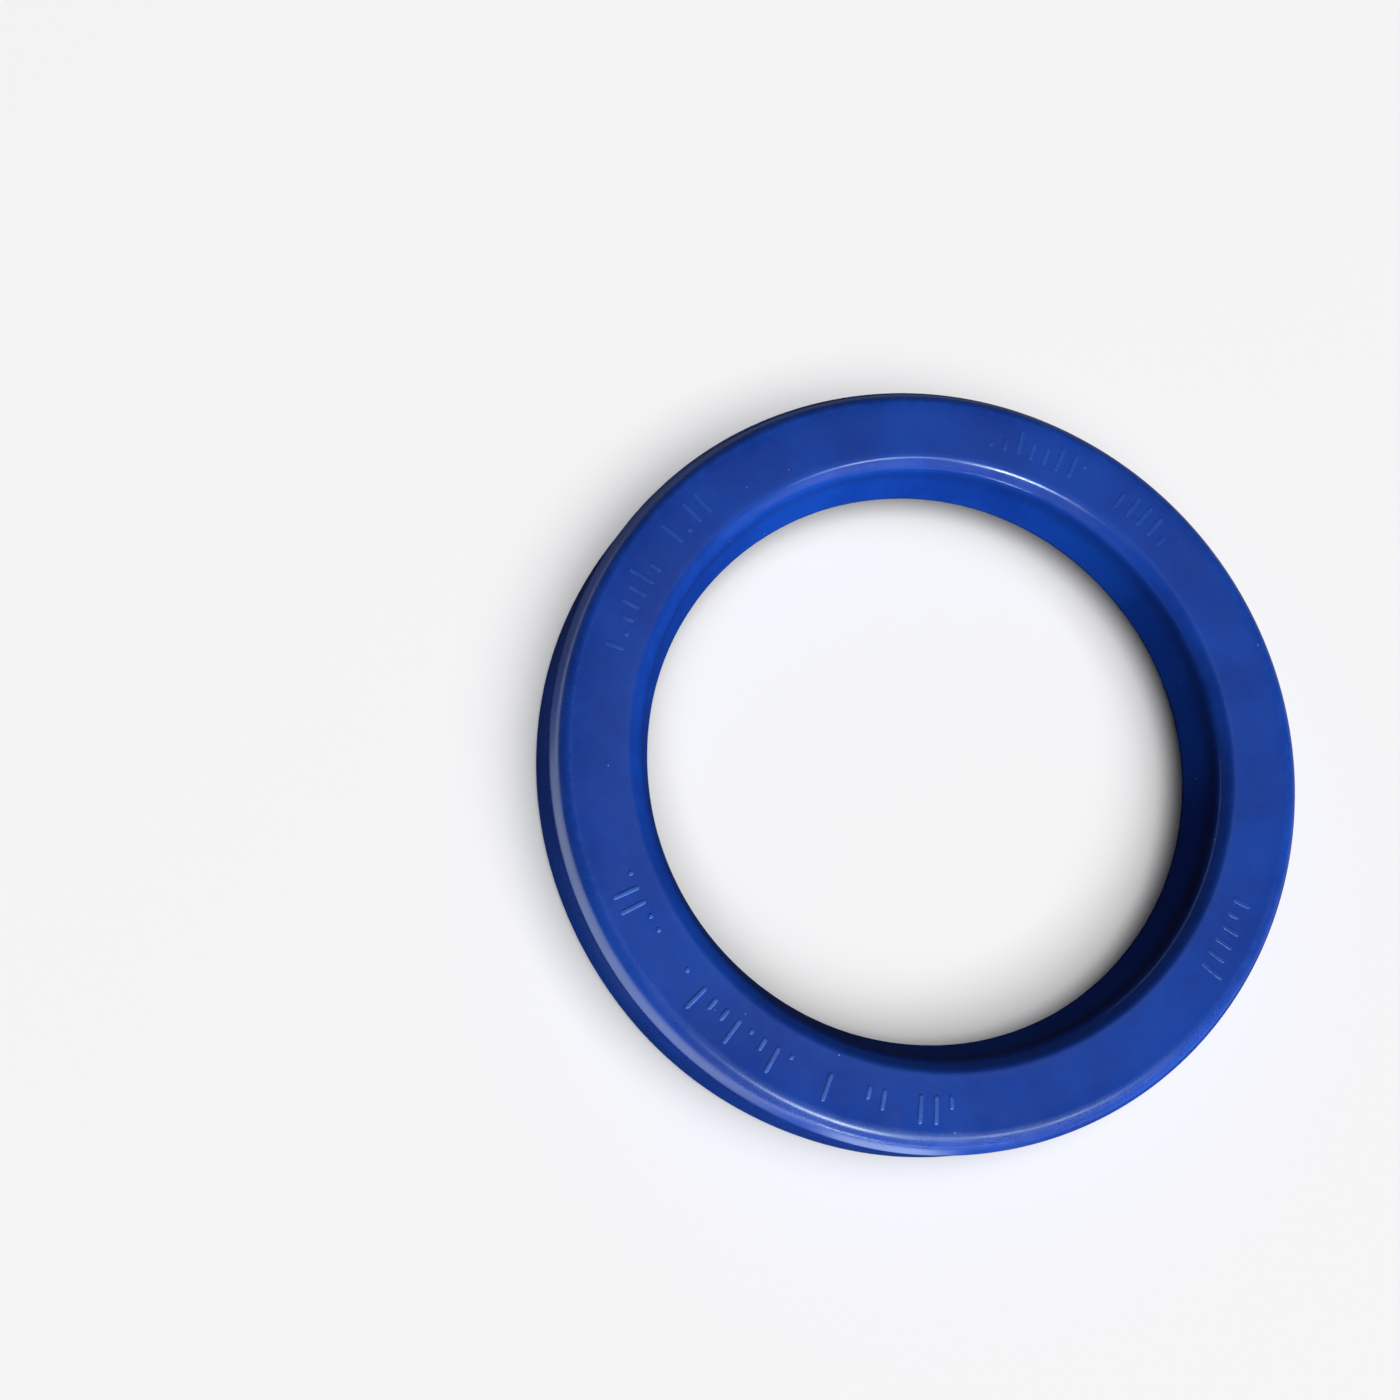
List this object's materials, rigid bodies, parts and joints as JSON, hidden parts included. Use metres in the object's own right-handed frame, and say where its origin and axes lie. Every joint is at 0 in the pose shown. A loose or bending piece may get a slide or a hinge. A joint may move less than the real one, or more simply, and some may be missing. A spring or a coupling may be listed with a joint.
{
  "type": "hydraulic lip seal",
  "caption": "Moulded polyurethane U-cup ring with a flat heel, flared inner and outer lips and a pressure groove, which seals a hydraulic rod against its housing.",
  "frame": {"origin": "centre of the plane that the outer lip's tip rests on", "axes": "+Z along the seal's axis, from the lips up to the flat heel"},
  "size_m": [0.0668, 0.0668, 0.009],
  "materials": {
    "polyurethane": "satin"
  },
  "bodies": {
    "root": {"seal_ring": "polyurethane"}
  },
  "joints": []
}
